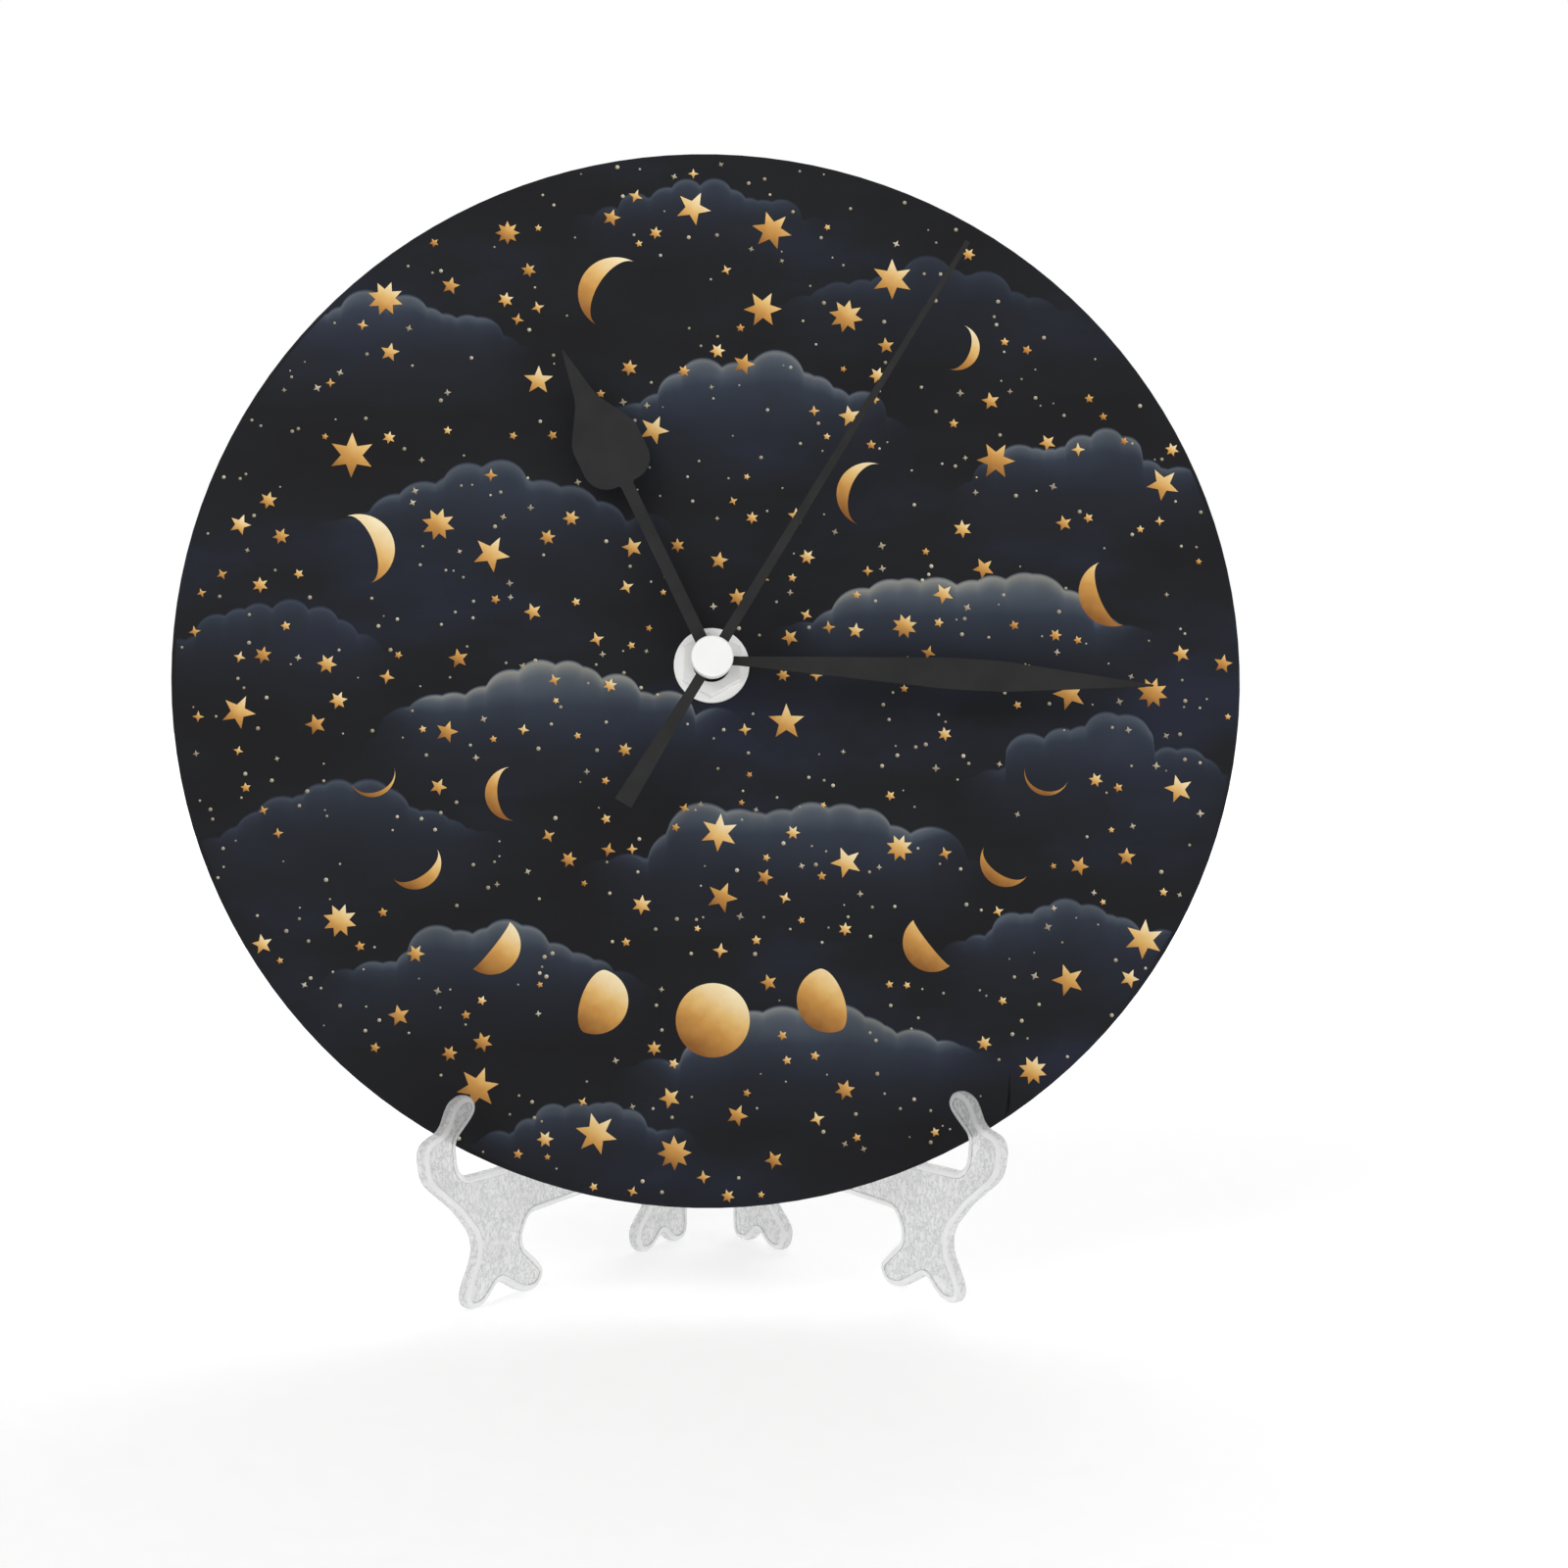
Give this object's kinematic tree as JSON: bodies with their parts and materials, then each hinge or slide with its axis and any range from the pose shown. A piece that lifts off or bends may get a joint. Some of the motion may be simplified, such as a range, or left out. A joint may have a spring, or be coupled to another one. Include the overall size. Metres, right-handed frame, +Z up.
{
  "type": "desk clock",
  "caption": "Round wall-style clock with a printed night-sky face, leaning on a clear folding easel, with its battery movement, gear train and hands.",
  "frame": {"origin": "on the ground under the middle of the whole object's box", "axes": "+X to the right as the face is read, +Y to the back, +Z up"},
  "size_m": [0.2, 0.0636, 0.2151],
  "materials": {
    "white_board": "satin",
    "face_print": "matte print",
    "gasket_rubber": "matte",
    "white_fitting": "satin",
    "black_case": "fine texture",
    "smoked_window": "smoked, clear",
    "inner_frame": "fine texture",
    "cell_wrap": "printed sleeve",
    "contact_metal": "plated",
    "board_laminate": "laminate",
    "black_resin": "poured",
    "white_gear": "moulded",
    "copper_wire": "enamelled wire",
    "soft_iron": "plated",
    "magnet": "sintered",
    "brass_tube": "turned",
    "hand_paint": "matte",
    "clear_plastic": "clear, pebbled panels"
  },
  "bodies": {
    "stand": {"easel_spine": "clear_plastic"},
    "left_side": {"left_wing": "clear_plastic"},
    "right_side": {"right_wing": "clear_plastic"},
    "clock": {"dial_board": "white_board", "dial_print": "face_print", "rubber_gasket": "gasket_rubber", "fixing_washer": "white_fitting", "hex_nut": "white_fitting", "movement_case": "black_case", "movement_back": "black_case", "window_cover": "smoked_window", "train_plate": "inner_frame", "battery_tray": "black_case", "battery_cell": "cell_wrap", "positive_contact": "contact_metal", "negative_contact": "contact_metal", "circuit_board": "board_laminate", "quartz_crystal": "contact_metal", "chip_resin": "black_resin", "coil_bobbin": "white_gear", "coil_winding": "copper_wire", "coil_core": "soft_iron", "stator": "soft_iron"},
    "seconds": {"second_hand": "hand_paint", "hand_cap": "white_fitting", "seconds_wheel": "white_gear"},
    "minutes": {"minute_hand": "hand_paint", "minute_pinion": "brass_tube"},
    "hours": {"hour_hand": "hand_paint", "hour_wheel": "white_gear"},
    "motion": {"motion_wheel": "white_gear"},
    "setting": {"setting_wheel": "black_case", "setting_knob": "black_case"},
    "rotor": {"rotor_magnet": "magnet", "rotor_pinion": "white_gear"},
    "fifth": {"fifth_wheel": "white_gear"},
    "third": {"third_wheel": "white_gear"},
    "centre": {"centre_wheel": "white_gear"}
  },
  "joints": [
    {"name": "clock_lift", "type": "slide", "parent": "stand", "child": "clock", "axis": [0, 0, 1], "range_m": [0, 0.14]},
    {"name": "left_fold", "type": "hinge", "parent": "stand", "child": "left_side", "pos_m": [-0.0053, 0.02948, 0.0658], "axis": [0, 0, 1], "range_deg": [0, 37.55]},
    {"name": "right_fold", "type": "hinge", "parent": "stand", "child": "right_side", "pos_m": [0.0053, 0.02948, 0.0658], "axis": [0, 0, -1], "range_deg": [0, 37.55]},
    {"name": "second_hand_turn", "type": "hinge", "parent": "clock", "child": "seconds", "pos_m": [0, -0.00404, 0.11634], "axis": [0, 0.9874, -0.1585], "continuous": true},
    {"name": "fifth_turn", "type": "hinge", "parent": "clock", "child": "fifth", "pos_m": [-0.0051, -0.0033, 0.12094], "axis": [0, 0.9874, -0.1585], "continuous": true},
    {"name": "rotor_turn", "type": "hinge", "parent": "clock", "child": "rotor", "pos_m": [-0.00936, -0.00388, 0.11735], "axis": [0, 0.9874, -0.1585], "continuous": true},
    {"name": "third_turn", "type": "hinge", "parent": "clock", "child": "third", "pos_m": [0.00412, -0.00317, 0.12173], "axis": [0, 0.9874, -0.1585], "continuous": true},
    {"name": "centre_turn", "type": "hinge", "parent": "clock", "child": "centre", "pos_m": [0, -0.00404, 0.11634], "axis": [0, 0.9874, -0.1585], "continuous": true},
    {"name": "minute_hand_turn", "type": "hinge", "parent": "clock", "child": "minutes", "pos_m": [0, -0.00404, 0.11634], "axis": [0, 0.9874, -0.1585], "continuous": true},
    {"name": "hour_hand_turn", "type": "hinge", "parent": "clock", "child": "hours", "pos_m": [0, -0.00404, 0.11634], "axis": [0, 0.9874, -0.1585], "continuous": true},
    {"name": "motion_turn", "type": "hinge", "parent": "clock", "child": "motion", "pos_m": [0.00739, -0.00437, 0.11426], "axis": [0, 0.9874, -0.1585], "continuous": true},
    {"name": "setting_turn", "type": "hinge", "parent": "clock", "child": "setting", "pos_m": [0.0162, -0.00377, 0.11802], "axis": [0, 0.9874, -0.1585], "continuous": true}
  ],
  "couplings": [
    {"joint": "left_fold", "follows": "clock_lift", "rad_per_m": 4.6812},
    {"joint": "right_fold", "follows": "clock_lift", "rad_per_m": 4.6812},
    {"joint": "fifth_turn", "follows": "second_hand_turn", "ratio": -5},
    {"joint": "rotor_turn", "follows": "second_hand_turn", "ratio": 30},
    {"joint": "third_turn", "follows": "second_hand_turn", "ratio": -0.13333},
    {"joint": "centre_turn", "follows": "second_hand_turn", "ratio": 0.016667},
    {"joint": "hour_hand_turn", "follows": "minute_hand_turn", "ratio": 0.083333},
    {"joint": "motion_turn", "follows": "minute_hand_turn", "ratio": -0.33333},
    {"joint": "setting_turn", "follows": "minute_hand_turn", "ratio": 0.5}
  ]
}
